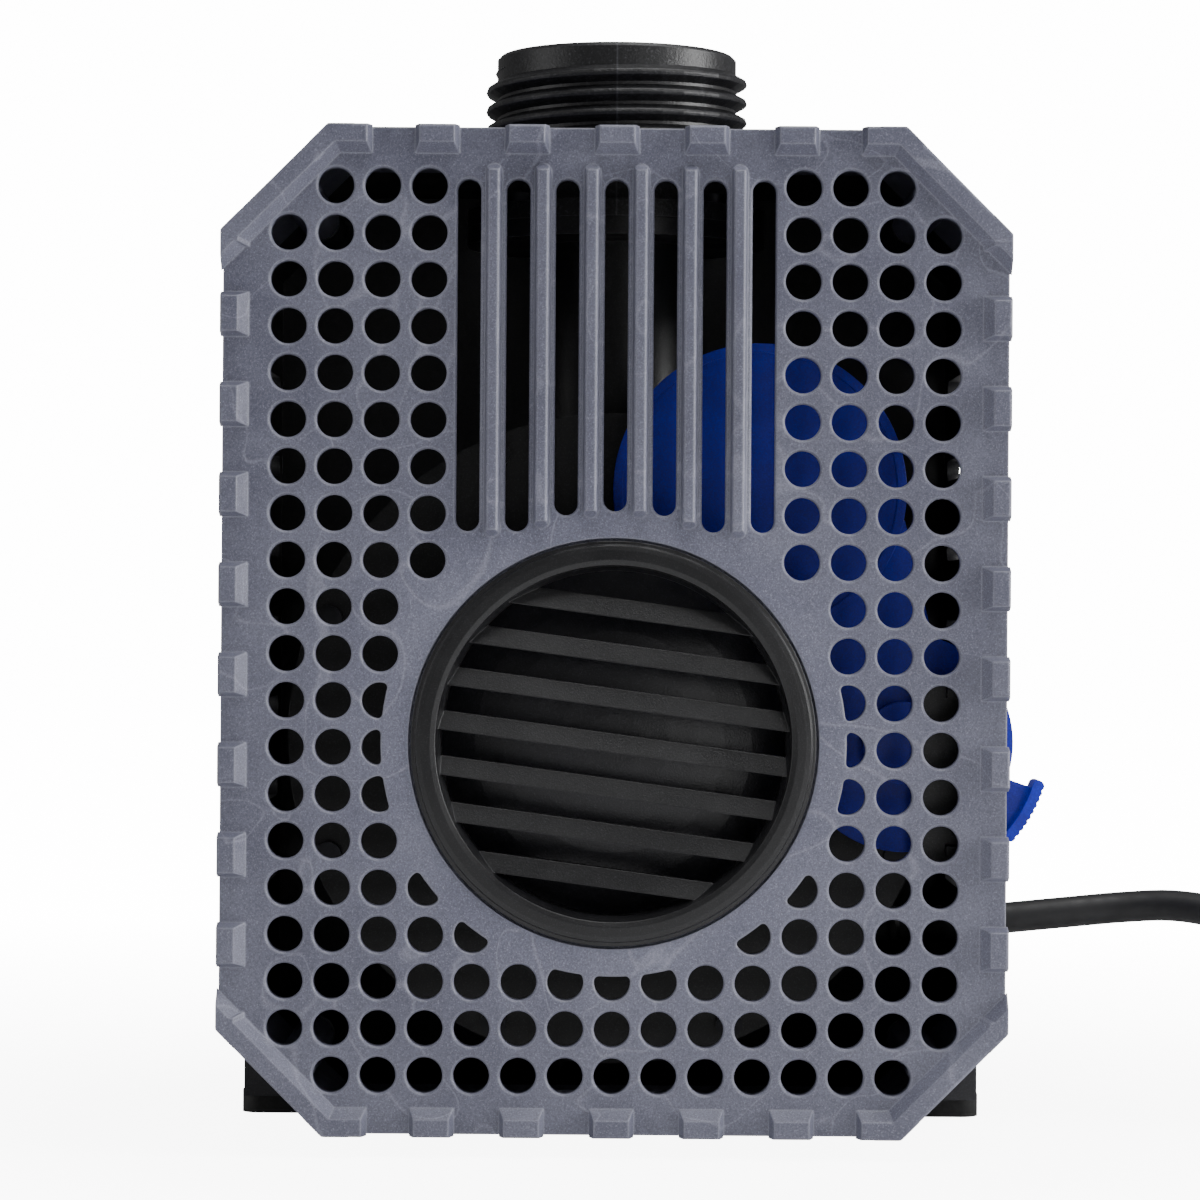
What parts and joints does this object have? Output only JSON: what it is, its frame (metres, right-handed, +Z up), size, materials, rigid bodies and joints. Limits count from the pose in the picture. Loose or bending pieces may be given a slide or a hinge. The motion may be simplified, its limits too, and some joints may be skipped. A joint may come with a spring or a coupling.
{
  "type": "wave maker pump",
  "caption": "Submersible pond circulation pump in a perforated cage, with a louvred suction grille, a swinging suction gate, a threaded outlet and a long power cord with its plug",
  "frame": {"origin": "on the floor, on the underside of the front sole, straight below the outlet's axis", "axes": "+X to the right of the louvred front, +Y from the front into the pump, +Z up along the outlet's axis"},
  "size_m": [0.4036, 0.1962, 0.2434],
  "materials": {
    "cage_front": "fine matt grain with flow marks",
    "cage_rear": "fine matt grain",
    "black_plastic": "satin moulded plastic",
    "blue_plastic": "bright moulded plastic",
    "pale_plastic": "natural moulded plastic",
    "rubber": "soft black rubber",
    "stainless": "stainless steel",
    "black_steel": "blackened screws",
    "ceramic": "ground ceramic",
    "magnet": "sealed ferrite magnet",
    "graphite": "carbon-filled bearing",
    "pressed_steel": "drawn stainless sheet",
    "lamination": "stacked sheet steel",
    "copper": "varnished copper winding",
    "resin": "poured resin",
    "cord_rubber": "extruded rubber sheath",
    "plated_brass": "nickel-plated brass"
  },
  "bodies": {
    "pump": {"front_cage": "cage_front", "rear_cage": "cage_rear", "cage_screws": "stainless", "front_sole": "rubber", "rear_sole": "rubber", "gate_pin": "stainless", "gate_washer": "pale_plastic", "gate_keeper": "black_plastic", "intake_collar": "black_plastic", "collar_screws": "black_steel", "volute_cover": "black_plastic", "volute_gasket": "rubber", "volute_body": "black_plastic", "volute_screws": "black_steel", "outlet_spigot": "black_plastic", "outlet_thread": "black_plastic", "outlet_seal": "rubber", "outlet_screws": "black_steel", "front_bush": "graphite", "rear_bush": "graphite", "rotor_can": "pressed_steel", "motor_housing": "black_plastic", "motor_seal": "rubber", "motor_cap": "black_plastic", "motor_screws": "stainless", "motor_mounts": "rubber", "stator_core": "lamination", "stator_coils": "copper", "potting_resin": "resin", "thermal_cutout": "pale_plastic", "cable_gland": "black_plastic", "strain_relief": "cord_rubber", "power_cord": "cord_rubber", "cord_coil": "cord_rubber", "cord_tail": "cord_rubber", "coil_ties": "rubber", "plug_boot": "cord_rubber", "plug_body": "cord_rubber", "plug_pins": "plated_brass", "plug_contacts": "plated_brass"},
    "rotor": {"impeller": "pale_plastic", "rotor_shaft": "ceramic", "rotor_magnet": "magnet", "thrust_washer": "ceramic"},
    "gate": {"gate_selector": "blue_plastic"},
    "grille": {"suction_grille": "black_plastic", "baffle_disc": "black_plastic", "grille_seal": "rubber"}
  },
  "joints": [
    {"name": "rotor_spin", "type": "hinge", "parent": "pump", "child": "rotor", "pos_m": [0, 0, 0.0886], "axis": [0, -1, 0], "continuous": true},
    {"name": "gate_swing", "type": "hinge", "parent": "pump", "child": "gate", "pos_m": [0.0633, -0.041, 0.0886], "axis": [0, -1, 0], "range_deg": [0, 60]},
    {"name": "grille_twist", "type": "hinge", "parent": "pump", "child": "grille", "pos_m": [0, -0.059, 0.0886], "axis": [0, -1, 0], "range_deg": [0, 30]}
  ]
}
